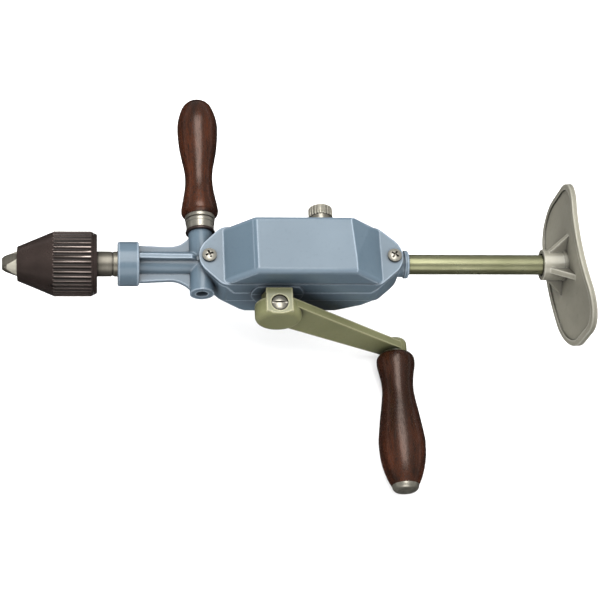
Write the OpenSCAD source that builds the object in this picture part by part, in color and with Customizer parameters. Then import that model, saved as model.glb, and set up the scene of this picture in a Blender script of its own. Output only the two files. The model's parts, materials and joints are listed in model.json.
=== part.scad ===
// Two-speed breast drill: geared hand drill with an enclosed housing, side handle and breast plate.
// X runs along the spindle from the jaw mouth to the breast plate, Y to the side handle, Z up to the cover.

/* [Chuck] */
// Diameter of the knurled chuck sleeve
sleeve_d = 43; // [42.6:0.1:43.6]
// Number of grooves round the chuck sleeve
sleeve_grooves = 40; // [30:1:44]
// Depth of the sleeve grooves
sleeve_groove_depth = 0.8; // [0.4:0.1:1]
// Diameter of the closed jaws' bore
jaw_bore_d = 1.5; // [1:0.1:2]

/* [Spindle] */
// Diameter of the bare spindle between chuck and housing
spindle_nose_d = 16.8; // [16:0.1:17]
// Diameter of the spindle in the neck
spindle_neck_d = 9.6; // [9.4:0.1:9.8]
// Diameter of the spindle in the gear case
spindle_d = 8.4; // [8.2:0.1:8.5]

/* [Housing] */
// Width of the gear case between its side walls
case_w = 42.6; // [42:0.2:43.2]
// Height of the cover's face above the spindle axis
cover_z = 30.5; // [29:0.5:32]
// Depth of the body's back below the spindle axis
back_z = 31; // [29:0.5:32]
// Wall thickness of both castings
wall = 3; // [2.6:0.1:3.2]
// Diameter of the nose collar
nose_collar_d = 29.5; // [28:0.5:30]
// Diameter of the cross boss that takes the side handle
handle_boss_d = 16.2; // [15:0.2:17]

/* [Side handle] */
// Place of the side handle along the spindle
side_handle_x = 130.5; // [130:0.5:131]
// Length of the side handle's wood
side_handle_len = 90.7; // [80:0.1:100]

/* [Crank] */
// Place of the crank axis along the spindle
crank_x = 180.3; // [180.1:0.1:180.5]
// Radius of the crank, from its axis to the handle's axis
crank_r = 110.4; // [95:0.2:115]
// Angle of the crank below the spindle in degrees
crank_angle = 36.8; // [0:0.2:90]
// Diameter of the crank hub
crank_hub_d = 31; // [29:0.5:33]

/* [Gears] */
// Teeth in the crown wheel's outer ring, which turns the spindle faster
outer_teeth = 38; // [38:1:38]
// Teeth in the crown wheel's inner ring, which turns it slower with more torque
inner_teeth = 22; // [22:1:22]
// Teeth of the sliding pinion
pinion_teeth = 13; // [13:1:13]

/* [Breast plate] */
// Outer diameter of the breast tube
tube_d = 13.5; // [13.3:0.1:13.6]
// Width of the breast plate from one end to the other
plate_w = 108.8; // [100:0.2:112]
// Height of the breast plate
plate_h = 66; // [60:0.2:72]
// Thickness of the breast plate
plate_t = 3.4; // [3:0.1:4.4]

/* [Hidden] */
$fn = 96;

enamel = [0.43, 0.52, 0.60];
steel = [0.72, 0.71, 0.68];
dark_steel = [0.20, 0.18, 0.17];
bronze = [0.70, 0.52, 0.28];
olive = [0.40, 0.41, 0.28];
grey_casting = [0.55, 0.54, 0.48];
rosewood = [0.27, 0.12, 0.08];

// Running gap of a shaft in its bush, gap between parts that slide past, and a cut's overrun
run_gap = 0.05;
gap = 0.1;
cut = 0.5;
far = 200;

// Chuck, along X from the jaw mouth
sleeve_r = sleeve_d / 2;
sleeve_front_x = 9.9;
sleeve_front_r = 11.4;
sleeve_mouth_r = 9.2;
sleeve_cone_x = 34;
sleeve_bore_r = sleeve_r - 2.2;
knurl_x = [33.4, 57.9];
sleeve_end_x = 59.6;
chuck_end_x = 61.9;
chuck_end_r = sleeve_r - 2.1;
chuck_end_slope = (sleeve_r - chuck_end_r) / (chuck_end_x - knurl_x[1]);
cone_slope = (sleeve_r - sleeve_front_r) / (sleeve_cone_x - sleeve_front_x);
chuck_core_r = 12.3;
chuck_web_x = 54.2;
drill_bore_r = 5.2;
nut_x = [26, 33];
jaw_slope = 14;
jaw_r = 4.3;
jaw_tip_r = 1.7;
jaw_len = 34.4;
jaw_grip_len = 10;
jaw_turns = [for (k = [0:2]) -12 - 120 * k];
nose_cone = [[0, 3.9], [1.8, 5.3], [9.6, 8.25]];
nose_front_x = 3.2;

// Inside of the gear case, which stands a step back from the flanges' edge
cavity_x = [150, 243];
case_step = 0.6;
inner_y = case_w / 2 - case_step - wall;

// Spindle and its bearings
spindle_stud_x = 44.2;
spindle_shoulder_x = 71.5;
spindle_groove_x = 72.4;
spindle_step_x = 119.5;
spindle_end_x = 251.6;
spindle_flats_x = [188, 222];
spindle_flat_z = 3.2;
nose_x = 75.2;
nose_end_x = 89.3;
thrust_r = 11;
thrust_cap_x = [76.2, 77.7];
thrust_ball_x = 80;
thrust_ball_r = 1.5;
thrust_balls = 12;
thrust_seat_x = [81.6, 84.5];
bush_r = 6.2;
front_bush_x = [84.6, 120];
rear_bush_x = [cavity_x[1], 251];

// Gear case
case_y = case_w / 2;
case_corner_r = 3.2;
bulge_x = [132.7, 263.5];
ear_top_z = 13;
ear_seam_z = 9.2;
ear_bottom_z = -12;
// Corners [x, z] of the swollen middle in side view, clockwise from the cover's left end
case_corners = [[144.7, ear_top_z], [163.2, cover_z - 1.2], [165.8, cover_z], [229.7, cover_z],
    [235, cover_z - 4.2], [249.6, ear_top_z], [250, ear_bottom_z], [240.5, 9.5 - back_z], [221.5, -back_z],
    [161.5, -back_z], [156, 3.7 - back_z], [141.5, ear_bottom_z]];
cover_end_turn = 3.6;
nose_arc = [143.6, 0, 15];
tail_arc = [248.7, 0, 15.8];
outline_corner_r = 9;
outline_corner_y = case_y - outline_corner_r;
case_outline = [nose_arc, [147.4, -outline_corner_y, outline_corner_r],
    [245, -outline_corner_y, outline_corner_r], tail_arc,
    [245, outline_corner_y, outline_corner_r], [147.4, outline_corner_y, outline_corner_r]];
seam = [[127.8, ear_seam_z], [146, ear_seam_z], [151.5, 0], [243.5, 0], [249, ear_seam_z],
    [264.6, ear_seam_z], [264.6, far], [127.8, far]];
screw_x = [135.3, 258.7];
screw_r = 2;
screw_tip_z = 5.4;
screw_head_r = 4.6;
screw_head_h = 2.9;
// Length, width and depth of the cross in a screw's head
screw_cross = [5.5, 1.4, 1.9];

// Neck and side handle
neck_r = 8.3;
fin_t = 3.2;
boss_top_y = 22.7;
boss_bottom_y = -22;
boss_thread_r = 4;
boss_thread_len = 12;
stud_y = [9.5, 60];
lock_ring_y = 24.4;
ferrule_top_y = 35.2;

// Breast tube
socket_x = [253, 269.5];
socket_neck_r = 8.5;
socket_collar_r = 9.5;
tube_r = tube_d / 2;
tube_bore_r = 5.2;
plate_hub_x = 361.9;
plate_hub_r = 10.5;
plate_x = 376.3;
tube_end_x = 375;
plate_mouth_x = 363.1;
plate_mouth_r = tube_r + 0.9;
plate_turn = [0.8, 4, 3.5];
plate_bend_r = 256;
plate_corner_r = 24;
rib_turns = [48, -42];
rib_reach = 22.5;
plate_rim = 4;
plate_recess = 1.2;

// Crown wheel and pinion: module 1, with the tooth profiles thinned for backlash
ring_mid_r = [outer_teeth / 2, inner_teeth / 2];
ring_half_w = [1.95, 2];
pinion_r = pinion_teeth / 2;
mesh_y = -pinion_r;
pinion_neck_r = pinion_r - 1.2;
pinion_w = 3.6;
wheel_face_y = mesh_y - 1.25;
wheel_web_y = wheel_face_y - 2.85;
wheel_hub_r = 8.5;
wheel_hub_y = -inner_y + gap;
pinion_flange_r = 9;
pinion_groove_x = [212.2, 215.4];
pinion_end_x = 216.9;
pinion_flange_t = 1.3;

// Crank, along Y below the gear case
shaft_r = 5;
shaft_head_r = 8;
shaft_head_y = [-9, -7.2];
shaft_end_y = -39;
crank_boss_r = 17.5;
crank_boss_y = -22.4;
crank_boss_top_z = 11;
crank_bush_r = 7;
crank_bush_flange_r = 9.5;
hub_y = [-42.5, -23.4];
hub_r = crank_hub_d / 2;
hub_edge_r = 4.5;
hub_flat_z = 13.5;
hub_disc_y = -31.2;
hub_neck_r = 10.6;
hub_block_y = -40.3;
hub_block_half_w = 8.7;
clamp_screw_y = -34.2;
arm_y = [-36, -30.3];
arm_hub_r = 15.2;
knob_boss_r = 8.5;
knob_boss_y = [-37.2, -26.2];
knob_boss_edge_r = 4;
knob_x = crank_x + crank_r * cos(crank_angle);
knob_z = -crank_r * sin(crank_angle);
rod_r = 4;
rod_head_y = [-129.2, -126.2];
rod_head_r = 7;
crank_wood_y = [-133.7, -38.4];
crank_cap_y = -138.2;

// Speed selector on the case's upper wall
selector_x = 209.8;
selector_z = 18;
lever_len = 11;
lever_reach = 4;
lever_y = [9.5, 12.5];
peg_r = 1.3;
stem_r = 2.8;
peg_dz = -sqrt(lever_len * lever_len - lever_reach * lever_reach);
bushing_top_y = 26.5;
bushing_r = 7.25;
knob_r = 8.1;
knob_y = [25.5, 26.6, 32.4];
knob_grooves = 24;
knob_groove_r = 0.7;
detent_dx = 4.9;
detent_r = 1.2;
detent_bottom_y = 22.3;

module rod_x(r, x) translate([x[0], 0, 0]) rotate([0, 90, 0]) cylinder(r = r, h = x[1] - x[0]);
module rod_y(r, y) translate([0, y[0], 0]) rotate([-90, 0, 0]) cylinder(r = r, h = y[1] - y[0]);
module rod_z(r, z) translate([0, 0, z[0]]) cylinder(r = r, h = z[1] - z[0]);

// Turned shapes, drawn as a profile of [radius, place along the axis]
module turned_x() rotate([0, 90, 0]) rotate_extrude() children();
module turned_y() rotate([-90, 0, 0]) rotate_extrude() children();

// Flat profiles pushed along an axis: (X, Y) along Z, (X, Z) along Y and (Y, Z) along X
module along_z(z) translate([0, 0, z[0]]) linear_extrude(z[1] - z[0]) children();
module along_y(y) translate([0, y[1], 0]) rotate([90, 0, 0]) linear_extrude(y[1] - y[0]) children();
module along_x(x) translate([x[0], 0, 0]) rotate([90, 0, 90]) linear_extrude(x[1] - x[0]) children();

// Outline round a ring of circles [x, y, r], taken anticlockwise: their arcs and outer tangents
function tangent_normal(a, b) =
    let (d = [b[0] - a[0], b[1] - a[1]], u = d / norm(d), s = (a[2] - b[2]) / norm(d))
    sqrt(1 - s * s) * [u[1], -u[0]] + s * u;
module belt(circles) {
    n = len(circles);
    polygon([for (i = [0:n - 1])
        let (a = circles[i], b = circles[(i + 1) % n], m = tangent_normal(a, b))
        each [[a[0], a[1]] + a[2] * m, [b[0], b[1]] + b[2] * m]]);
    for (c = circles)
        translate([c[0], c[1]])
            circle(r = c[2]);
}

// Smooth curve through points, as a Catmull-Rom spline
function spline_point(a, b, c, d, t) =
    0.5 * (2 * b + (c - a) * t + (2 * a - 5 * b + 4 * c - d) * t * t + (3 * b - a - 3 * c + d) * t * t * t);
function spline(p, steps) = [for (i = [0:len(p) - 2], s = [0:steps - 1])
    spline_point(p[max(i - 1, 0)], p[i], p[i + 1], p[min(i + 2, len(p) - 1)], s / steps)];

module at_side_handle() translate([side_handle_x, 0, 0]) children();
module at_crank() translate([crank_x, 0, 0]) children();
module at_knob() translate([knob_x, 0, knob_z]) children();
module at_selector() translate([selector_x, 0, selector_z]) children();

// Section of the gear case across the spindle, or of a block that one sloped end is cut from
module case_section(top, bottom, half_w, r) {
    translate([-half_w, bottom + r])
        square([2 * half_w, top - bottom - 2 * r]);
    translate([r - half_w, bottom])
        square([2 * (half_w - r), top - bottom]);
    for (side = [-1, 1], z = [bottom + r, top - r])
        translate([side * (half_w - r), z])
            circle(r = r);
}
// Block under the sloped face between corners i and i + 1 of the side view; spread keeps its sides clear of
// the case's
module slope_block(i, turn, inset, spread) {
    a = case_corners[i];
    b = case_corners[i + 1];
    translate([(a[0] + b[0]) / 2, 0, (a[1] + b[1]) / 2])
        rotate([0, atan2(a[1] - b[1], b[0] - a[0]), turn])
            along_x([-far, far])
                case_section(-inset, -far, case_y - case_step - inset + spread,
                    case_corner_r - min(inset, 2.5));
}
// Swollen middle of the gear case, with its sloped ends
module bulge(inset) intersection() {
    along_x(bulge_x)
        case_section(cover_z - inset, inset - back_z, case_y - case_step - inset,
            case_corner_r - min(inset, 2.5));
    slope_block(0, 0, inset, 0.1);
    slope_block(1, 0, inset, 0.15);
    slope_block(3, cover_end_turn, inset, 20);
    slope_block(4, 0, inset, 0.2);
    slope_block(6, 0, inset, 0.25);
    slope_block(7, 0, inset, 0.3);
    slope_block(9, 0, inset, 0.35);
    slope_block(10, 0, inset, 0.4);
}
module plan(inset) belt([for (c = case_outline) [c[0], c[1], c[2] - inset]]);
module case_solid() {
    intersection() {
        bulge(0);
        along_z([-far, far])
            plan(case_step / 2);
    }
    along_z([ear_bottom_z, ear_top_z])
        plan(0);
    crank_boss();
}
module case_cavity() intersection() {
    bulge(wall);
    translate([cavity_x[0], -far, -far])
        cube([cavity_x[1] - cavity_x[0], 2 * far, 2 * far]);
}
module cover_side() along_y([-far, far]) polygon(seam);

// Holes that both castings share
module case_holes() {
    rod_x(spindle_neck_d / 2 - 0.2, [front_bush_x[1] - cut, cavity_x[0] + cut]);
    rod_x(bush_r, [cavity_x[1] - cut, 252]);
    at_crank()
        rod_y(crank_bush_r, [crank_boss_y - cut, -inner_y + cut]);
    for (x = screw_x)
        translate([x, 0, 0])
            rod_z(screw_r, [screw_tip_z - 0.2, ear_top_z + cut]);
}
module crank_boss() at_crank() intersection() {
    rod_y(crank_boss_r, [crank_boss_y, -inner_y - 1]);
    translate([-far, -far, crank_boss_top_z - far])
        cube([2 * far, 2 * far, far]);
}

// Four fins along the neck: two spread out into the cross boss, two stand across it
module neck_fins() {
    front_x = nose_end_x - cut;
    top = spline([[90.2, 13], [105, 12.3], [110, 12.2], [114, 12.7], [117, 13.9], [120, 16], [122.4, 18.4],
        [124.8, 21.4]], 5);
    bottom = spline([[90.2, 13.5], [105, 12.8], [109, 12.6], [113.1, 12.9], [116, 13.9], [119.6, 15.9],
        [121.9, 17.9], [124.6, 20.6]], 5);
    along_z([-fin_t / 2, fin_t / 2]) {
        polygon([[front_x, 0], [front_x, 13], each top, [side_handle_x, 21.8], [side_handle_x, 0]]);
        polygon([[front_x, 1], [front_x, -13.5], for (p = bottom) [p[0], -p[1]], [side_handle_x, -21.2],
            [side_handle_x, 1]]);
    }
    along_y([-fin_t / 2, fin_t / 2])
        polygon([[front_x, -12.8], [front_x, 13.2], [109, 12.3], [123.8, 12.1], [127.2, 9], [135, 9],
            [135, -11.5], [109, -11.4]]);
}

module nose_collar() turned_x()
    polygon([[0, nose_x], [nose_collar_d / 2 - 0.8, nose_x], [nose_collar_d / 2, nose_x + 0.8],
        [nose_collar_d / 2, nose_end_x - 0.8], [nose_collar_d / 2 - 0.8, nose_end_x], [0, nose_end_x]]);

module tube_collar() turned_x()
    polygon([[0, 250], [socket_neck_r, 250], [socket_neck_r, socket_x[1] - 3.3],
        [socket_collar_r, socket_x[1] - 2.8], [socket_collar_r, socket_x[1] - 0.7],
        [socket_collar_r - 0.7, socket_x[1]], [0, socket_x[1]]]);

module body_casting() color(enamel) difference() {
    union() {
        difference() {
            union() {
                case_solid();
                tube_collar();
            }
            cover_side();
        }
        rod_x(neck_r, [nose_end_x - cut, side_handle_x]);
        nose_collar();
        neck_fins();
        at_side_handle()
            rod_y(handle_boss_d / 2, [boss_bottom_y, boss_top_y]);
    }
    case_cavity();
    case_holes();
    rod_x(thrust_r, [nose_x - cut, thrust_seat_x[1]]);
    rod_x(bush_r, [thrust_seat_x[1] - cut, front_bush_x[1]]);
    rod_x(spindle_d / 2 + 0.8, [251.5, socket_x[0] + cut]);
    rod_x(tube_r, [socket_x[0], socket_x[1] + cut]);
    at_side_handle() {
        rod_y(boss_thread_r, [stud_y[0] - 0.3, boss_top_y + cut]);
        rod_y(boss_thread_r, [boss_bottom_y - cut, boss_bottom_y + boss_thread_len]);
    }
}

module cover_casting() color(enamel) difference() {
    intersection() {
        case_solid();
        cover_side();
    }
    case_cavity();
    case_holes();
    at_selector()
        rod_y(5, [inner_y - cut, case_y + cut]);
}

// Pan-head screw with a cross recess, its head resting on z = 0
module pan_screw(tip_z) {
    dome_r = 8.8;
    difference() {
        intersection() {
            rod_z(screw_head_r, [0, screw_head_h]);
            translate([0, 0, screw_head_h - dome_r])
                sphere(r = dome_r);
        }
        for (turn = [0, 90])
            rotate([0, 0, turn])
                translate([-screw_cross[0] / 2, -screw_cross[1] / 2, screw_head_h - screw_cross[2]])
                    cube([screw_cross[0], screw_cross[1], screw_cross[2] + cut]);
    }
    rod_z(screw_r, [tip_z, cut]);
}
module cover_screws() color(steel)
    for (x = screw_x)
        translate([x, 0, ear_top_z])
            rotate([0, 0, x == screw_x[0] ? 20 : 55])
                pan_screw(screw_tip_z - ear_top_z);

module bush_x(x, bore_d) color(bronze) difference() {
    rod_x(bush_r, x);
    rod_x(bore_d / 2 + run_gap, [x[0] - cut, x[1] + cut]);
}
module front_bush() bush_x(front_bush_x, spindle_neck_d);
module rear_bush() bush_x(rear_bush_x, spindle_d);
module crank_bush() color(bronze) at_crank() difference() {
    union() {
        rod_y(crank_bush_r, [crank_boss_y - cut, -inner_y - gap]);
        rod_y(crank_bush_flange_r, [hub_y[1] + gap, crank_boss_y]);
    }
    rod_y(shaft_r + run_gap, [-far, far]);
}

module thrust_washer(x, r_out, r_in) color(steel) difference() {
    rod_x(r_out, x);
    rod_x(r_in, [x[0] - cut, x[1] + cut]);
}
module thrust_cap() thrust_washer(thrust_cap_x, thrust_r, spindle_nose_d / 2 + 0.2);
module thrust_ring() thrust_washer([spindle_groove_x, thrust_ball_x - thrust_ball_r - gap],
    spindle_nose_d / 2, spindle_neck_d / 2);
module thrust_seat() thrust_washer(thrust_seat_x, thrust_r, spindle_neck_d / 2 + 0.5);
module thrust_bearing() color(steel) {
    ball_ring_r = 7.6;
    difference() {
        rod_x(10, [thrust_ball_x - 0.6, thrust_ball_x + 0.6]);
        rod_x(spindle_neck_d / 2 + 0.4, [thrust_ball_x - 1, thrust_ball_x + 1]);
    }
    for (i = [0:thrust_balls - 1])
        rotate([360 / thrust_balls * i, 0, 0])
            translate([thrust_ball_x, 0, ball_ring_r])
                sphere(r = thrust_ball_r, $fn = 32);
}

module spindle() color(steel) difference() {
    turned_x()
        polygon([[0, spindle_stud_x], [6, spindle_stud_x], [6, chuck_end_x],
            [spindle_nose_d / 2, chuck_end_x], [spindle_nose_d / 2, spindle_shoulder_x],
            [7.8, spindle_shoulder_x], [7.8, spindle_groove_x], [spindle_neck_d / 2, spindle_groove_x],
            [spindle_neck_d / 2, spindle_step_x], [spindle_d / 2, spindle_step_x],
            [spindle_d / 2, spindle_end_x], [0, spindle_end_x]]);
    for (side = [0, 180])
        rotate([side, 0, 0])
            translate([spindle_flats_x[0], -5, spindle_flat_z])
                cube([spindle_flats_x[1] - spindle_flats_x[0], 10, 5]);
    translate([154, 0, 0])
        rod_z(1.2, [-10, 10]);
}
module spindle_collar() color(steel) difference() {
    rod_x(7.6, [cavity_x[0] + 0.2, 157.8]);
    rod_x(spindle_d / 2, [cavity_x[0], 158]);
    translate([154, 0, 0])
        rod_z(1.2, [-10, 10]);
}
module spindle_collar_pin() color(steel) translate([154, 0, 0]) rod_z(1.2, [-7.4, 7.4]);

// Gear tooth in section, [across the tooth, height from the pitch line], thinned by slim on each flank
function tooth(root, tip, slim = 0) = [[slim - 0.98, -root], [slim - 0.58, 0], [slim - 0.26, tip],
    [0.26 - slim, tip], [0.58 - slim, 0], [0.98 - slim, -root]];

module pinion() color(steel) {
    rest_x = crank_x + ring_mid_r[0];
    difference() {
        union() {
            rod_x(pinion_neck_r, [rest_x - pinion_w / 2, pinion_end_x]);
            rod_x(pinion_flange_r, [pinion_groove_x[0] - pinion_flange_t, pinion_groove_x[0]]);
            rod_x(pinion_flange_r, [pinion_groove_x[1], pinion_end_x]);
            for (i = [0:pinion_teeth - 1])
                rotate([360 / pinion_teeth * (i + 0.5) + 90, 0, 0])
                    along_x([rest_x - pinion_w / 2, rest_x + pinion_w / 2])
                        translate([0, pinion_r])
                            polygon(tooth(1.3, 0.9));
        }
        along_x([rest_x - pinion_w, pinion_end_x + cut])
            intersection() {
                circle(r = spindle_d / 2 + run_gap);
                square([10, 2 * (spindle_flat_z + run_gap)], center = true);
            }
    }
}

module crown_teeth(ring, count) {
    r = [ring_mid_r[ring] - ring_half_w[ring], ring_mid_r[ring] + ring_half_w[ring]];
    for (i = [0:count - 1])
        rotate([0, 360 / count * i, 0])
            along_x(r)
                polygon([for (p = tooth(1.3, 0.9, ring * 0.12)) [mesh_y + p[1], p[0]]]);
}
module crown_wheel() color(steel) at_crank() difference() {
    union() {
        rod_y(ring_mid_r[0] + ring_half_w[0], [wheel_web_y, wheel_face_y]);
        rod_y(wheel_hub_r, [wheel_hub_y, wheel_web_y + cut]);
        crown_teeth(0, outer_teeth);
        crown_teeth(1, inner_teeth);
    }
    rod_y(shaft_r, [-far, far]);
    rod_y(shaft_head_r + 0.2, [shaft_head_y[0], far]);
    translate([0, -14.4, 0])
        rod_z(1.25, [-10, 10]);
}
module wheel_pin() color(steel) at_crank() translate([0, -14.4, 0]) rod_z(1.25, [-8, 8]);

module crank_shaft() color(steel) at_crank() difference() {
    union() {
        rod_y(shaft_head_r, shaft_head_y);
        rod_y(shaft_r, [shaft_end_y, shaft_head_y[0] + cut]);
    }
    translate([0, -14.4, 0])
        rod_z(1.25, [-10, 10]);
    translate([0, clamp_screw_y, 4.6])
        rod_z(3.2, [0, 5]);
}

// Turned boss profile with one rounded edge, at the end given by edge (0 is low Y, 1 is high Y)
module rounded_boss(r, y, edge_r, edge) {
    edge_y = edge == 0 ? y[0] + edge_r : y[1] - edge_r;
    straight = edge == 0 ? [edge_y, y[1]] : [y[0], edge_y];
    turned_y() {
        translate([0, y[0]])
            square([r - edge_r, y[1] - y[0]]);
        translate([0, straight[0]])
            square([r, straight[1] - straight[0]]);
        intersection() {
            translate([r - edge_r, edge_y])
                circle(r = edge_r);
            translate([0, y[0]])
                square([r, y[1] - y[0]]);
        }
    }
}
module crank_arm() color(olive) difference() {
    union() {
        at_crank() {
            rounded_boss(hub_r, [hub_y[0], hub_disc_y], hub_edge_r, 0);
            rod_y(hub_neck_r, [hub_disc_y - cut, hub_y[1]]);
            translate([-hub_block_half_w, hub_block_y, 0])
                cube([2 * hub_block_half_w, hub_y[1] - 0.2 - hub_block_y, hub_flat_z + cut]);
            along_y(arm_y)
                rotate(-crank_angle)
                    belt([[0, 0, arm_hub_r], [crank_r, 0, knob_boss_r - 0.3]]);
        }
        at_knob()
            rounded_boss(knob_boss_r, knob_boss_y, knob_boss_edge_r, 1);
    }
    at_crank() {
        translate([-far, -far, hub_flat_z])
            cube([2 * far, 2 * far, far]);
        rod_y(shaft_r, [shaft_end_y - gap, far]);
        translate([0, clamp_screw_y, 0]) {
            rod_z(3, [0, 11]);
            rod_z(5.6, [10.6, 20]);
        }
    }
    at_knob()
        rod_y(rod_r, [-far, knob_boss_y[1] - 1.5]);
}
module crank_clamp_screw() color(steel) at_crank() translate([0, clamp_screw_y, 0]) difference() {
    union() {
        rod_z(3, [4.6, 11]);
        intersection() {
            rod_z(5, [10.6, 14.2]);
            translate([0, 0, 14.2 - 11])
                sphere(r = 11);
        }
    }
    translate([-6, -0.6, 13])
        cube([12, 1.2, 2]);
}

module crank_handle_rod() color(steel) at_knob() {
    rod_y(rod_r, [rod_head_y[1] - cut, knob_boss_y[1] - 1.5]);
    rod_y(rod_head_r, rod_head_y);
}
module crank_handle_washer() color(steel) at_knob() difference() {
    rod_y(knob_boss_r + 0.1, [knob_boss_y[0] - 1, knob_boss_y[0]]);
    rod_y(rod_r, [-far, far]);
}
module crank_handle() color(rosewood) at_knob() difference() {
    turned_y() {
        swell = spline([[11.3, crank_wood_y[1]], [13, -40.8], [13.3, -44.6], [12.8, -48.3], [11.4, -55.8],
            [10.9, -63.2], [11.5, -70.6], [13.9, -85.3], [15.9, -99.8], [16, -107], [15.5, -114.1],
            [14.1, -121.2], [11.9, -128.3], [9.4, crank_wood_y[0]]], 5);
        polygon([[0, crank_wood_y[1]], each swell, [9.4, crank_wood_y[0]], [0, crank_wood_y[0]]]);
    }
    rod_y(rod_r + run_gap, [-far, far]);
    rod_y(rod_head_r + 0.3, [-far, rod_head_y[1] + gap]);
}
module crank_handle_cap() color(steel) at_knob() turned_y() {
    dome = spline([[4.8, crank_cap_y], [7.2, crank_cap_y + 0.7], [8.7, crank_cap_y + 2.2],
        [9.4, crank_wood_y[0]]], 5);
    polygon([[0, crank_cap_y], each dome, [9.4, crank_wood_y[0]], [rod_head_r + 0.3, crank_wood_y[0]],
        [rod_head_r + 0.3, crank_wood_y[0] + 3], [0, crank_wood_y[0] + 3]]);
}

module side_handle() color(rosewood) at_side_handle() difference() {
    top = ferrule_top_y + side_handle_len;
    turned_y() {
        swell = spline([[10, ferrule_top_y], [12.1, 37.4], [12.4, 40.8], [11.1, 48.5], [9.8, 56.2], [9.3, 64],
            [9.9, 71.8], [12.7, 87.5], [13.8, 101.5], [13.3, top - 16], [11.1, top - 8], [8.9, top - 3.9],
            [5.5, top - 1.2], [0.5, top]], 5);
        polygon([[0, ferrule_top_y], each swell, [0, top]]);
    }
    rod_y(boss_thread_r, [0, stud_y[1] + 0.3]);
}
module side_handle_ferrule() color(steel) at_side_handle() difference() {
    turned_y()
        polygon([[0, lock_ring_y], [9.2, lock_ring_y], [9.4, 24.7], [9.3, 26.4], [9.2, 29.4], [9.7, 29.8],
            [9.8, 30.8], [9.7, 31.8], [9.2, 32.1], [9.2, 32.4], [10, 32.7], [10.1, 33.6], [10.1, 34.7],
            [9.9, ferrule_top_y], [0, ferrule_top_y]]);
    rod_y(boss_thread_r, [0, far]);
}
module side_handle_lock_ring() color(dark_steel) at_side_handle() difference() {
    turned_y()
        polygon([[0, boss_top_y], [9.5, boss_top_y], [9.9, boss_top_y + 0.4], [9.9, lock_ring_y - 0.4],
            [9.5, lock_ring_y], [0, lock_ring_y]]);
    rod_y(boss_thread_r, [0, far]);
}
module side_handle_stud() color(steel) at_side_handle() rod_y(boss_thread_r, stud_y);

module selector_bushing() color(steel) at_selector() difference() {
    union() {
        rod_y(5, [inner_y, case_y + cut]);
        rod_y(bushing_r, [case_y, bushing_top_y]);
    }
    rod_y(stem_r + run_gap, [0, far]);
    translate([detent_dx, 0, 0])
        rod_y(detent_r, [detent_bottom_y, far]);
}
module detent_ball() color(steel) at_selector() translate([detent_dx, bushing_top_y - detent_r, 0])
    sphere(r = detent_r, $fn = 32);
module detent_spring() color(steel) at_selector() translate([detent_dx, 0, 0]) difference() {
    rod_y(detent_r - gap, [detent_bottom_y, bushing_top_y - 2 * detent_r]);
    rod_y(detent_r - 0.5, [20, far]);
}
module selector_knob() color(steel) at_selector() difference() {
    turned_y()
        polygon([[0, knob_y[0]], [knob_r - 0.4, knob_y[0]], [knob_r, knob_y[0] + 0.4],
            [knob_r, knob_y[2] - 0.7], [knob_r - 0.7, knob_y[2]], [0, knob_y[2]]]);
    rod_y(bushing_r + gap, [0, knob_y[1]]);
    rod_y(stem_r, [0, knob_y[2] - 2.5]);
    for (i = [0:knob_grooves - 1])
        rotate([0, 360 / knob_grooves * i, 0])
            translate([knob_r + 0.1, 0, 0])
                rod_y(knob_groove_r, [knob_y[0] - cut, knob_y[2] + cut]);
}
module selector_lever() color(steel) at_selector() {
    rod_y(stem_r, [lever_y[0], knob_y[2] - 2.5]);
    rod_y(4.2, [lever_y[0], inner_y - gap]);
    along_y(lever_y)
        belt([[0, 0, 3.8], [lever_reach, peg_dz, 2.2]]);
    translate([lever_reach, 0, peg_dz])
        rod_y(peg_r, [-3, lever_y[0] + cut]);
}

// Rod of radius r along a jaw's sloped axis, from s[0] to s[1] measured from the jaw mouth
module jaw_rod(r, s) translate([0, 0, jaw_tip_r]) rotate([0, 90 - jaw_slope, 0])
    translate([0, 0, s[0]])
        cylinder(r = r, h = s[1] - s[0]);
module chuck_body() color(dark_steel) difference() {
    turned_x() {
        cone_x = sleeve_front_x + 2;
        tip_r = lookup(nose_front_x, nose_cone);
        polygon([[0, nose_front_x], [tip_r, nose_front_x], [nose_cone[2][1], nose_cone[2][0]],
            [sleeve_mouth_r - gap, sleeve_front_x + 0.2], [sleeve_mouth_r - gap, cone_x],
            [sleeve_mouth_r - gap + (nut_x[0] - 0.3 - cone_x) * cone_slope, nut_x[0] - 0.3],
            [chuck_core_r, nut_x[0] - 0.3], [chuck_core_r, chuck_web_x],
            [sleeve_bore_r - 0.08, chuck_web_x], [sleeve_bore_r - 0.08, sleeve_end_x + gap],
            [sleeve_r - chuck_end_slope * (sleeve_end_x + gap - knurl_x[1]), sleeve_end_x + gap],
            [chuck_end_r, chuck_end_x], [0, chuck_end_x]]);
    }
    for (turn = jaw_turns)
        rotate([turn, 0, 0])
            jaw_rod(jaw_r + 0.06, [0, 54.8]);
    rod_x(drill_bore_r, [0, spindle_stud_x + cut]);
    rod_x(6, [spindle_stud_x, far]);
}
module chuck_sleeve() color(dark_steel) difference() {
    turned_x() {
        cone_x = sleeve_front_x + 2;
        inner_r = sleeve_mouth_r + (sleeve_cone_x - cone_x) * cone_slope;
        polygon([[sleeve_mouth_r, sleeve_front_x], [sleeve_front_r, sleeve_front_x],
            [sleeve_r, sleeve_cone_x], [sleeve_r, knurl_x[1]],
            [sleeve_r - chuck_end_slope * (sleeve_end_x - knurl_x[1]), sleeve_end_x],
            [sleeve_bore_r, sleeve_end_x], [sleeve_bore_r, sleeve_cone_x + 2], [inner_r, sleeve_cone_x],
            [sleeve_mouth_r, cone_x]]);
    }
    for (i = [0:sleeve_grooves - 1])
        rotate([360 / sleeve_grooves * i, 0, 0])
            translate([0, 0, sleeve_r + 0.5 - sleeve_groove_depth + 0.5])
                rod_x(1, [knurl_x[0] - 0.2, knurl_x[1] + 0.3]);
}
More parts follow.
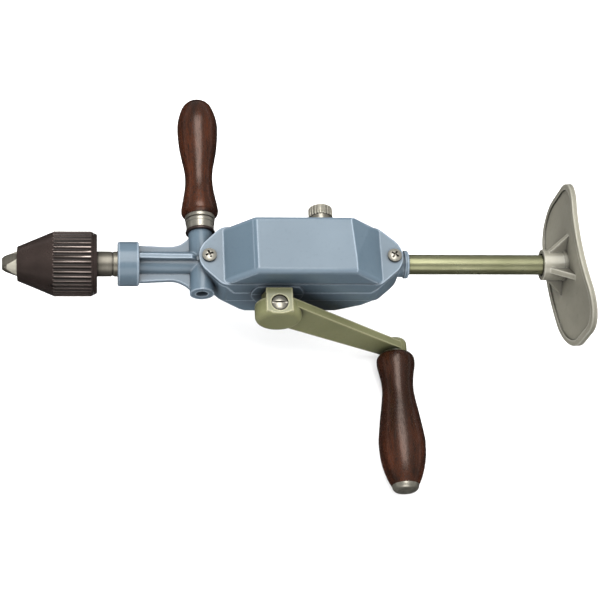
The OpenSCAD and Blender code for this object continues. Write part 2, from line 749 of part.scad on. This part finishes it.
module chuck_nut() color(steel) turned_x() {
    cone_x = sleeve_front_x + 2;
    outer = [for (x = nut_x) sleeve_mouth_r + (x - cone_x) * cone_slope];
    inner = [for (x = nut_x) jaw_tip_r + x * tan(jaw_slope) + jaw_r / cos(jaw_slope) + gap];
    polygon([[inner[0], nut_x[0]], [outer[0], nut_x[0]], [outer[1], nut_x[1]], [inner[1], nut_x[1]]]);
}
module chuck_jaw(k) color(steel) rotate([jaw_turns[k], 0, 0]) difference() {
    intersection() {
        jaw_rod(jaw_r, [-4, jaw_len]);
        along_x([-1, 60])
            polygon([[0, gap / 2], [-30 * sin(60), 30 * cos(60)], [-20, 30], [20, 30],
                [30 * sin(60), 30 * cos(60)]]);
        turned_x()
            polygon([[0, 0], for (p = nose_cone) [p[1], p[0]], [20, 14], [20, 60.5], [0, 60.5]]);
    }
    rod_x(jaw_bore_d / 2, [-1, jaw_grip_len + cut]);
    rod_x(jaw_bore_d / 2 + 1, [jaw_grip_len, 60]);
}
module chuck_jaw_1() chuck_jaw(0);
module chuck_jaw_2() chuck_jaw(1);
module chuck_jaw_3() chuck_jaw(2);

module breast_tube() color(olive) difference() {
    rod_x(tube_r, [socket_x[0], tube_end_x]);
    rod_x(tube_bore_r, [0, 2 * far]);
    translate([screw_x[1], 0, 0])
        rod_z(screw_r, [screw_tip_z - 0.4, far]);
}

// Breast plate: a bent oval pad with a raised rim, on a hub with crossed ribs
module plate_outline(inset) {
    r = plate_corner_r - inset;
    y = plate_w / 2 - plate_corner_r;
    z = plate_h / 2 - plate_corner_r;
    belt([[-y, -z, r], [y, -z, r], [y, z, r], [-y, z, r]]);
}
module plate_pad(face, back, inset) intersection() {
    along_x([-20, 40])
        plate_outline(inset);
    translate([plate_bend_r, 0, 0])
        difference() {
            rod_z(plate_bend_r - face, [-far, far]);
            rod_z(plate_bend_r - back, [-far, far]);
        }
}
module breast_plate() color(grey_casting) difference() {
    union() {
        translate([plate_x, 0, 0])
            rotate(plate_turn) {
                difference() {
                    plate_pad(0, plate_t, 0);
                    plate_pad(-1, plate_recess, plate_rim);
                }
                rod_x(plate_hub_r + 0.4, [-1.2, plate_recess + 1]);
                for (turn = rib_turns)
                    rotate([turn, 0, 0])
                        along_y([-2, 2])
                            polygon([[plate_hub_x + 3 - plate_x, 1.2 - plate_hub_r],
                                [plate_hub_x + 3 - plate_x, plate_hub_r - 1.2],
                                [plate_recess + 0.9, rib_reach], [plate_recess + 0.9, -rib_reach]]);
            }
        rod_x(plate_hub_r, [plate_hub_x, plate_x + 1]);
    }
    rod_x(tube_r, [0, tube_end_x]);
    rod_x(plate_mouth_r, [0, plate_mouth_x]);
}

body_casting();
cover_casting();
cover_screws();
front_bush();
rear_bush();
crank_bush();
thrust_cap();
thrust_bearing();
thrust_seat();
thrust_ring();
spindle();
spindle_collar();
spindle_collar_pin();
pinion();
crown_wheel();
wheel_pin();
crank_shaft();
crank_arm();
crank_clamp_screw();
crank_handle_rod();
crank_handle_washer();
crank_handle();
crank_handle_cap();
side_handle();
side_handle_ferrule();
side_handle_lock_ring();
side_handle_stud();
selector_knob();
selector_lever();
selector_bushing();
detent_ball();
detent_spring();
chuck_body();
chuck_sleeve();
chuck_nut();
chuck_jaw_1();
chuck_jaw_2();
chuck_jaw_3();
breast_tube();
breast_plate();
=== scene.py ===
# Breast drill: camera, finishes, rounded edges, floor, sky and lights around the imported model.
import json
import math

import bpy
from mathutils import Matrix, Vector


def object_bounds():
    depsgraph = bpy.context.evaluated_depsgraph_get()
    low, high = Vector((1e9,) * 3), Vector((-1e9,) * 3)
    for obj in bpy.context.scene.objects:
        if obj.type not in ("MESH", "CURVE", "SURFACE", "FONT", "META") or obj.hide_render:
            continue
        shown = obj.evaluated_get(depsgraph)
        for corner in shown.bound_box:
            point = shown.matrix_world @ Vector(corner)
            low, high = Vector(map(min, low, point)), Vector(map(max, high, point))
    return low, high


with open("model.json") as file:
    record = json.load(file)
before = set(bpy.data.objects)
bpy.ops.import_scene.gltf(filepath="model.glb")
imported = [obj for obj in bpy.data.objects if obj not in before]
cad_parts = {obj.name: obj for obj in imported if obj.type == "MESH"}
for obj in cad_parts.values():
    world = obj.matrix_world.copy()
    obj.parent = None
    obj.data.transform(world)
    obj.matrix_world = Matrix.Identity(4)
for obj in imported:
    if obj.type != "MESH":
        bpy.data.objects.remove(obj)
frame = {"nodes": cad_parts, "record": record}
nodes = frame["nodes"]
cadBox = [list(corner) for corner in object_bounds()]
print("frame loaded:", len(nodes), "nodes")

mm = 0.001


# Camera: places in millimetres in the model's frame, looking down on the cover from the crank's side
camera = {
    "place": (62.0, -503.96, 1010.69),
    "forward": (0.118387, 0.424253, -0.897772),
    "up": (0.000379, 0.904110, 0.427299),
    "lens": 102,
    "sensor": 36,
    "clip": (0.05, 20),
}


def addCamera(settings):
    data = bpy.data.cameras.new("photoCamera")
    data.lens = settings["lens"]
    data.sensor_width = settings["sensor"]
    data.clip_start, data.clip_end = settings["clip"]
    obj = bpy.data.objects.new("photoCamera", data)
    bpy.context.scene.collection.objects.link(obj)
    back = -Vector(settings["forward"]).normalized()
    right = Vector(settings["up"]).cross(back).normalized()
    up = back.cross(right)
    turn = Matrix((right, up, back)).transposed().to_4x4()
    obj.matrix_world = Matrix.Translation(Vector(settings["place"]) * mm) @ turn
    bpy.context.scene.camera = obj


addCamera(camera)
print("camera placed")


# Shader maths: a wrapped socket whose operators add Math nodes
class Val:
    def __init__(self, graph, socket):
        self.graph = graph
        self.socket = socket

    def math(self, operation, *others):
        return self.graph.node("ShaderNodeMath", {"operation": operation}, [self, *others])

    def __add__(self, other):
        return self.math("ADD", other)

    def __sub__(self, other):
        return self.math("SUBTRACT", other)

    def __rsub__(self, other):
        return self.graph.node("ShaderNodeMath", {"operation": "SUBTRACT"}, [other, self])

    def __mul__(self, other):
        return self.math("MULTIPLY", other)

    def __truediv__(self, other):
        return self.math("DIVIDE", other)

    def clip(self):
        return self.graph.node("ShaderNodeClamp", {}, [self])

    def step(self, low, high):
        # 0 below low, 1 above high, straight in between
        return ((self - low) / (high - low)).clip()


# Samples of the shader's own rays, and the ranges in which an edge's bend and its openness count as a worn
# edge painted lighter, a painted highlight
rays = {"openness": 8, "bevel": 4}
edgeWearAndHighlight = {"bend": (0.06, 0.24), "open": (0.6, 0.95)}


# One material's nodes
class Graph:
    def __init__(self, name):
        self.material = bpy.data.materials.new(name)
        self.material.use_nodes = True
        self.tree = self.material.node_tree
        self.shader = self.tree.nodes["Principled BSDF"]

    def node(self, kind, settings=None, values=(), out=0):
        made = self.tree.nodes.new(kind)
        for key, value in (settings or {}).items():
            setattr(made, key, value)
        pairs = values.items() if isinstance(values, dict) else enumerate(values)
        for key, value in pairs:
            if isinstance(value, Val):
                self.tree.links.new(value.socket, made.inputs[key])
            else:
                made.inputs[key].default_value = value
        return Val(self, made.outputs[out])

    def place(self):
        return self.node("ShaderNodeTexCoord", out="Object")

    def axes(self):
        # the three coordinates in millimetres
        split = self.node("ShaderNodeSeparateXYZ", {}, [self.place()])
        outs = split.socket.node.outputs
        return [Val(self, outs[i]) * 1000 for i in range(3)]

    def scaled(self, x, y, z):
        values = {"Vector": self.place(), "Scale": (x, y, z)}
        return self.node("ShaderNodeMapping", {"vector_type": "POINT"}, values)

    def noise(self, scale, detail, rough, vector=None):
        values = {"Vector": vector or self.place(), "Scale": scale, "Detail": detail, "Roughness": rough}
        return self.node("ShaderNodeTexNoise", {}, values)

    def blend(self, factor, first, second):
        # a Mix node keeps its factor at input 0, its colours at 6 and 7 and their mix at output 2
        made = self.tree.nodes.new("ShaderNodeMix")
        made.data_type = "RGBA"
        for socket, value in ((made.inputs[0], factor), (made.inputs[6], first), (made.inputs[7], second)):
            if isinstance(value, Val):
                self.tree.links.new(value.socket, socket)
            else:
                socket.default_value = (*value, 1.0) if isinstance(value, tuple) else value
        return Val(self, made.outputs[2])

    def openness(self, distance):
        # 1 on open surfaces, towards 0 in grooves and corners closer than distance
        settings = {"samples": rays["openness"]}
        return self.node("ShaderNodeAmbientOcclusion", settings, {"Distance": distance}, out="AO")

    def softEdges(self, radius):
        # the surface's normal, with edges rounded to a radius
        return self.node("ShaderNodeBevel", {"samples": rays["bevel"]}, {"Radius": radius})

    def edgeMask(self, radius):
        # 0 on flat faces, towards 1 on outer edges rounded to a radius
        plain = self.node("ShaderNodeNewGeometry", out="Normal")
        pair = [self.softEdges(radius), plain]
        same = self.node("ShaderNodeVectorMath", {"operation": "DOT_PRODUCT"}, pair, out="Value")
        bend = (1 - same).clip().math("POWER", 0.5)
        return bend.step(*edgeWearAndHighlight["bend"]) * self.openness(radius * 2).step(*edgeWearAndHighlight["open"])

    def bump(self, height, distance, strength, normal=None):
        values = {"Height": height, "Distance": distance, "Strength": strength}
        if normal is not None:
            values["Normal"] = normal
        return self.node("ShaderNodeBump", {}, values)

    def set(self, **sockets):
        names = {
            "color": "Base Color", "rough": "Roughness", "metal": "Metallic", "coat": "Coat Weight",
            "coatRough": "Coat Roughness", "normal": "Normal", "specular": "Specular IOR Level",
            "tint": "Specular Tint", "glow": "Emission Color", "glowStrength": "Emission Strength",
        }
        for key, value in sockets.items():
            socket = self.shader.inputs[names[key]]
            if isinstance(value, Val):
                self.tree.links.new(value.socket, socket)
            elif isinstance(value, tuple):
                socket.default_value = (*value, 1.0)
            else:
                socket.default_value = value
        return self.material


def linear(*rgb):
    # screen colour, 0 to 255, as a linear colour by the sRGB curve
    return tuple(c / 255 / 12.92 if c <= 10 else ((c / 255 + 0.055) / 1.055) ** 2.4 for c in rgb)


def shaded(color, share):
    return tuple(c * share for c in color)


# Painted castings: each noise's scale per metre, detail and roughness, distances in metres, the range of each
# mask, and how much each layer covers or adds
paint = {
    "clouds": (9, 4, 0.6), "cloudRange": (0.3, 0.7), "cloudRough": 0.12,
    "grain": 420, "specks": (3, 0.55), "ripples": (2, 0.5), "rippleRatio": 2.2, "rippleDepth": 0.5,
    "speckRange": (0.58, 0.78), "speckShare": 0.25, "speckTone": 0.5, "speckRough": 0.1,
    "edge": 0.0017, "edgeShare": 0.9,
    # corner and shade: painted shade in corners and near neighbouring parts
    "corner": 0.0022, "cornerRange": (0.45, 0.95), "cornerSpeck": 0.25,
    "shade": 0.02, "shadeRange": (0.4, 1.0), "shadeShare": 0.75,
    "rough": 0.29, "depth": 0.00004, "strength": 0.5,
    "metal": 0.0, "coat": 0.4, "coatRough": 0.15, "specular": 0.3,
}


def enamel(name, **changes):
    # slow cloudy changes of tone, fine specks, a rippled surface, paint drawn thin over the edges and lighter
    # there as a painted highlight, dirt with painted shade in the corners, and painted shade near
    # neighbouring parts
    look = {**paint, **changes}
    g = Graph(name)
    cloud = g.noise(*look["clouds"])
    speck = g.noise(look["grain"], *look["specks"])
    ripple = g.noise(look["grain"] * look["rippleRatio"], *look["ripples"])
    color = g.blend(cloud.step(*look["cloudRange"]), look["light"], look["dark"])
    fleck = speck.step(*look["speckRange"]) * look["speckShare"]
    color = g.blend(fleck, color, shaded(look["dark"], look["speckTone"]))
    # painted highlight: rounded edges lighter, as paint worn thin and catching light
    color = g.blend(g.edgeMask(look["edge"]) * look["edgeShare"], color, look["thin"])
    # painted shade: darker in the corners, mottled by the specks as dirt
    corner = g.openness(look["corner"]) + speck * look["cornerSpeck"]
    color = g.blend(corner.step(*look["cornerRange"]), look["dirt"], color)
    # painted shade: darker within two centimetres of neighbouring parts, such as round the crank's hub
    shade = 1 - g.openness(look["shade"]).step(*look["shadeRange"])
    color = g.blend(shade * look["shadeShare"], color, look["dirt"])
    height = ripple * look["rippleDepth"] + speck
    return g.set(
        color=color,
        rough=cloud * look["cloudRough"] + speck * look["speckRough"] + look["rough"],
        normal=g.bump(height, look["depth"], look["strength"], g.softEdges(look["edge"])),
        metal=look["metal"],
        coat=look["coat"],
        coatRough=look["coatRough"],
        specular=look["specular"],
    )


# Bright metal, in the same terms; rings is how many turning marks fall in a millimetre along the axis
turned = {
    "marks": (40, 4, 0.65), "rings": 2.6,
    "markRange": (0.4, 0.75), "markShare": 0.35, "markTone": 0.45, "markRough": 0.16,
    "stains": (55, 4, 0.6), "stainRange": (0.35, 0.75), "stainRough": 0.14,
    "corner": 0.0018, "cornerRange": (0.55, 0.95), "cornerStain": 0.15, "oilAndShade": (0.035, 0.03, 0.024),
    "metal": 0.8, "rough": 0.25, "depth": 0.00001, "strength": 0.6,
}


def turnedMetal(name, axis, **changes):
    # fine turning marks across one axis, and oil with painted shade in the corners
    look = {**turned, **changes}
    g = Graph(name)
    along = [1.0, 1.0, 1.0]
    along["XYZ".index(axis)] = look["rings"] * 1000 / look["marks"][0]
    marks = g.noise(*look["marks"], g.scaled(*along))
    stain = g.noise(*look["stains"])
    color = g.blend(stain.step(*look["stainRange"]), look["light"], look["dark"])
    line = marks.step(*look["markRange"]) * look["markShare"]
    color = g.blend(line, color, shaded(look["dark"], look["markTone"]))
    # painted shade: darker in corners and recesses, such as the screws' cross recesses, in an oil colour
    corner = g.openness(look["corner"]) + stain * look["cornerStain"]
    color = g.blend(corner.step(*look["cornerRange"]), look["oilAndShade"], color)
    return g.set(
        color=color,
        rough=marks * look["markRough"] + stain * look["stainRough"] + look["rough"],
        metal=look["metal"],
        normal=g.bump(marks, look["depth"], look["strength"]),
    )


# Chuck: places along X and radii in millimetres
chuckFinish = {
    "light": linear(70, 59, 55), "dark": linear(50, 42, 39), "worn": linear(150, 138, 131),
    "grooveShade": linear(16, 12, 10), "steel": linear(176, 172, 158),
    "stains": (38, 4, 0.6), "stainRange": (0.3, 0.75), "specks": (900, 2, 0.5),
    "knurl": (33.4, 58.4), "knurlFade": 0.8, "grooves": 40, "crest": (21.0, 21.3), "nose": (9.7, 9.9),
    "ridgeRange": (0.8, 1.02), "ridgeSpeck": 0.2, "ridgeMetal": 0.25,
    "grooveRange": (-0.3, 0.2), "grooveShare": 0.9,
    "rough": 0.2, "stainRough": 0.12, "speckRough": 0.06, "noseRough": 0.04,
    "metal": 0.7, "noseMetal": 0.2, "depth": 0.000012, "strength": 0.5,
}


def blackened(name, look):
    # black-brown oxide, worn bright on the knurl's ridges, with painted shade in the knurl's grooves and bare
    # steel at the chuck's nose
    g = Graph(name)
    x, y, z = g.axes()
    radius = (y * y + z * z).math("POWER", 0.5)
    stain = g.noise(*look["stains"])
    speck = g.noise(*look["specks"])
    color = g.blend(stain.step(*look["stainRange"]), look["light"], look["dark"])
    first, last = look["knurl"]
    knurl = x.step(first, first + look["knurlFade"]) * (1 - x.step(last - look["knurlFade"], last))
    # -1 along the middle of a ridge and 1 along the middle of a groove
    wave = (y.math("ARCTAN2", z) * look["grooves"]).math("COSINE")
    ridge = (speck * look["ridgeSpeck"] - wave).step(*look["ridgeRange"])
    ridge = knurl * ridge * radius.step(*look["crest"])
    color = g.blend(ridge, color, look["worn"])
    # painted shade: the knurl's grooves darkened almost to black
    color = g.blend(knurl * wave.step(*look["grooveRange"]) * look["grooveShare"], color, look["grooveShade"])
    nose = 1 - x.step(*look["nose"])
    color = g.blend(nose, color, look["steel"])
    rough = stain * look["stainRough"] + speck * look["speckRough"] + look["rough"]
    return g.set(
        color=color,
        rough=rough - nose * look["noseRough"],
        metal=ridge * look["ridgeMetal"] + look["metal"] - nose * look["noseMetal"],
        normal=g.bump(speck, look["depth"], look["strength"]),
    )


# Wood: the grain runs along Y, so noise is stretched along it
woodFinish = {
    "brown": linear(36, 17, 9), "red": linear(62, 29, 13),
    "dark": linear(16, 8, 5), "poreAndShade": linear(8, 4, 3),
    "patches": (26, 3, 0.55), "patchStretch": 0.5, "patchRange": (0.4, 0.62), "stretch": 0.07,
    "broad": (120, 5, 0.6), "broadRange": (0.4, 0.62), "broadShare": 0.85, "broadRough": 0.06,
    "fine": (700, 4, 0.6), "fineRange": (0.5, 0.68), "fineShare": 0.6, "fineRough": 0.14, "fineDepth": 0.7,
    "pores": (1500, 2, 0.5), "poreStretch": 0.12, "poreRange": (0.55, 0.65), "poreShare": 0.7,
    "poreGloss": (0.5, 0.65), "poreRough": 0.12, "poreDepth": 0.5,
    "marks": (60, 3, 0.6), "markStretch": (0.15, 22.0, 0.15), "markDepth": 0.7,
    "corner": 0.003, "cornerRange": (0.35, 0.9),
    "rough": 0.16, "depth": 0.00005, "strength": 0.6, "specular": 0.5, "tint": (1.0, 0.78, 0.68),
}


def varnishedWood(name, look):
    # reddish patches, dark fibres and pores, marks of turning, painted shade in the corners and a satin
    # varnish
    g = Graph(name)
    fibre = g.scaled(1.0, look["stretch"], 1.0)
    patch = g.noise(*look["patches"], g.scaled(1.0, look["patchStretch"], 1.0))
    broad = g.noise(*look["broad"], fibre)
    fine = g.noise(*look["fine"], fibre)
    pores = g.noise(*look["pores"], g.scaled(1.0, look["poreStretch"], 1.0))
    color = g.blend(patch.step(*look["patchRange"]), look["brown"], look["red"])
    color = g.blend(broad.step(*look["broadRange"]) * look["broadShare"], color, look["dark"])
    color = g.blend(fine.step(*look["fineRange"]) * look["fineShare"], color, look["dark"])
    color = g.blend(pores.step(*look["poreRange"]) * look["poreShare"], color, look["poreAndShade"])
    # painted shade: darker in the corners, in the pores' colour
    color = g.blend(g.openness(look["corner"]).step(*look["cornerRange"]), look["poreAndShade"], color)
    # turning marks run round the grip, so they vary along Y alone
    marks = g.noise(*look["marks"], g.scaled(*look["markStretch"]))
    dull = pores.step(*look["poreGloss"])
    rough = fine * look["fineRough"] + dull * look["poreRough"] + broad * look["broadRough"]
    height = fine * look["fineDepth"] + pores * look["poreDepth"] + marks * look["markDepth"]
    return g.set(
        color=color,
        rough=rough + look["rough"],
        normal=g.bump(height, look["depth"], look["strength"]),
        specular=look["specular"],
        tint=look["tint"],
    )


finish = {
    "slate_enamel": enamel(
        "slateEnamel",
        light=linear(80, 95, 106), dark=linear(70, 85, 96),
        dirt=linear(22, 29, 35), thin=linear(152, 164, 176),
    ),
    "crank_enamel": enamel(
        "crankEnamel",
        light=linear(110, 110, 79), dark=linear(91, 92, 62),
        dirt=linear(26, 26, 14), thin=linear(166, 162, 130),
    ),
    "grey_casting": enamel(
        "greyCasting",
        light=linear(146, 143, 130), dark=linear(120, 117, 105),
        dirt=linear(36, 34, 27), thin=linear(180, 177, 165),
        grain=260, depth=0.00006, metal=0.35,
    ),
    "tube_enamel": turnedMetal(
        "tubeEnamel", "Y", light=linear(140, 140, 110), dark=linear(122, 122, 92),
        rough=0.15, metal=0.85, rings=1.0, depth=0.000006,
    ),
    "bright_steel": turnedMetal("brightSteel", "X", light=linear(118, 114, 104), dark=linear(90, 86, 77)),
    "ring_steel": turnedMetal(
        "ringSteel", "X", light=linear(140, 136, 124), dark=linear(114, 110, 99), rough=0.21
    ),
    "screw_steel": turnedMetal(
        "screwSteel", "X", light=linear(172, 168, 156), dark=linear(136, 132, 121), rough=0.17, corner=0.0036
    ),
    "knob_steel": turnedMetal(
        "knobSteel", "Y", light=linear(172, 168, 155), dark=linear(138, 134, 122), rough=0.19, corner=0.0022
    ),
    "nickelled_steel": turnedMetal(
        "nickelledSteel", "Y", light=linear(166, 162, 150), dark=linear(124, 120, 109), rough=0.15, metal=0.85
    ),
    "bronze": turnedMetal("bronzeBush", "Y", light=linear(180, 138, 80), dark=linear(140, 102, 56)),
    "blackened_steel": blackened("blackenedSteel", chuckFinish),
    "varnished_wood": varnishedWood("varnishedWood", woodFinish),
}
slotOf = {part["node"]: part["material_slot"] for part in frame["record"]["subparts"]}
# nodes whose tone in the photograph differs from the rest of their slot
slotOf.update({
    "crank_arm": "crank_enamel", "breast_tube": "tube_enamel", "thrust_ring": "ring_steel",
    "cover_screws": "screw_steel", "selector_knob": "knob_steel",
})
for name, obj in nodes.items():
    obj.data.materials.clear()
    obj.data.materials.append(finish[slotOf[name]])
print("finishes set")


# Edge rounding of the castings and machined pieces: the nodes of each width in millimetres
rounding = {
    0.9: ["breast_plate"],
    0.8: ["body_casting", "cover_casting"],
    0.7: ["crank_arm"],
    0.3: ["crank_clamp_screw", "thrust_ring", "selector_bushing", "crank_handle_cap", "chuck_body"],
    0.25: ["cover_screws", "spindle", "crank_handle_washer"],
    0.2: ["side_handle_lock_ring", "chuck_jaw_1", "chuck_jaw_2", "chuck_jaw_3", "chuck_sleeve"],
    0.15: ["side_handle_ferrule", "selector_knob"],
}
roundingForm = {"weld": 0.00001, "segments": 3, "angle": 28}


def roundEdges(obj, width):
    weld = obj.modifiers.new("weld", "WELD")
    weld.merge_threshold = roundingForm["weld"]
    bevel = obj.modifiers.new("edges", "BEVEL")
    bevel.width = width * mm
    bevel.segments = roundingForm["segments"]
    bevel.limit_method = "ANGLE"
    bevel.angle_limit = math.radians(roundingForm["angle"])
    bevel.harden_normals = False


for width, names in rounding.items():
    for name in names:
        roundEdges(nodes[name], width)
print("edges rounded")


# Floor: a pale sheet just under the model, in metres
sheet = {
    "size": 12, "middle": (0.2, 0), "below": 0.0002,
    "tone": 0.87, "rough": 0.9, "specular": 0.1, "glow": 0.1,
}
floorZ = cadBox[0][2] - sheet["below"]
bpy.ops.mesh.primitive_plane_add(size=sheet["size"], location=(*sheet["middle"], floorZ))
floor = bpy.context.object
floor.name = "floor"
paper = Graph("floorPaper").set(
    color=(sheet["tone"],) * 3, rough=sheet["rough"], specular=sheet["specular"],
    glow=(1.0, 1.0, 1.0), glowStrength=sheet["glow"],
)
floor.data.materials.append(paper)
floor.visible_glossy = False
print("floor laid")


# Sky: white, its strength set by height: dark below the horizon, a pale band just above it, softer above
levels = [(0.49, 0.05), (0.505, 0.7), (0.56, 0.6), (0.66, 0.3), (1.0, 0.5)]
world = bpy.data.worlds.new("studio")
bpy.context.scene.world = world
world.use_nodes = True
sky = world.node_tree
sky.nodes["Background"].inputs["Color"].default_value = (1.0, 1.0, 1.0, 1.0)
height = sky.nodes.new("ShaderNodeSeparateXYZ")
sky.links.new(sky.nodes.new("ShaderNodeTexCoord").outputs["Generated"], height.inputs[0])
rise = sky.nodes.new("ShaderNodeMapRange")
sky.links.new(height.outputs["Z"], rise.inputs["Value"])
rise.inputs["From Min"].default_value = -1.0
band = sky.nodes.new("ShaderNodeValToRGB")
sky.links.new(rise.outputs[0], band.inputs[0])
sky.links.new(band.outputs[0], sky.nodes["Background"].inputs["Strength"])
while len(band.color_ramp.elements) < len(levels):
    band.color_ramp.elements.new(0.5)
for element, (place, level) in zip(band.color_ramp.elements, levels):
    element.position = place
    element.color = (level, level, level, 1.0)
bpy.context.scene.view_settings.view_transform = "Standard"
print("sky set")


# Lights: places and sizes in metres, powers in watts, all aimed at the gear case
aim = (0.19, 0, 0)
lights = {
    "key": {"place": (0.16, 0.35, 1.5), "size": 0.9, "depth": 1.7, "power": 26},
    "top": {"place": (0.16, 0.2, 1.7), "size": 1.8, "power": 32, "reflected": False},
    "left": {"place": (-1.1, -0.1, 0.8), "size": 0.9, "power": 16, "reflected": False},
    "right": {"place": (1.5, 0.1, 0.8), "size": 0.9, "power": 13, "reflected": False},
    "front": {"place": (0.2, -1.25, 0.6), "size": 0.9, "power": 6},
}
for name, lamp in lights.items():
    data = bpy.data.lights.new(name, "AREA")
    data.shape = "RECTANGLE"
    data.size = lamp["size"]
    data.size_y = lamp.get("depth", lamp["size"])
    data.energy = lamp["power"]
    obj = bpy.data.objects.new(name, data)
    bpy.context.scene.collection.objects.link(obj)
    obj.location = lamp["place"]
    obj.visible_glossy = lamp.get("reflected", True)
    obj.rotation_euler = (Vector(aim) - obj.location).to_track_quat("-Z", "Y").to_euler()
print("lights placed")

bpy.context.view_layer.update()
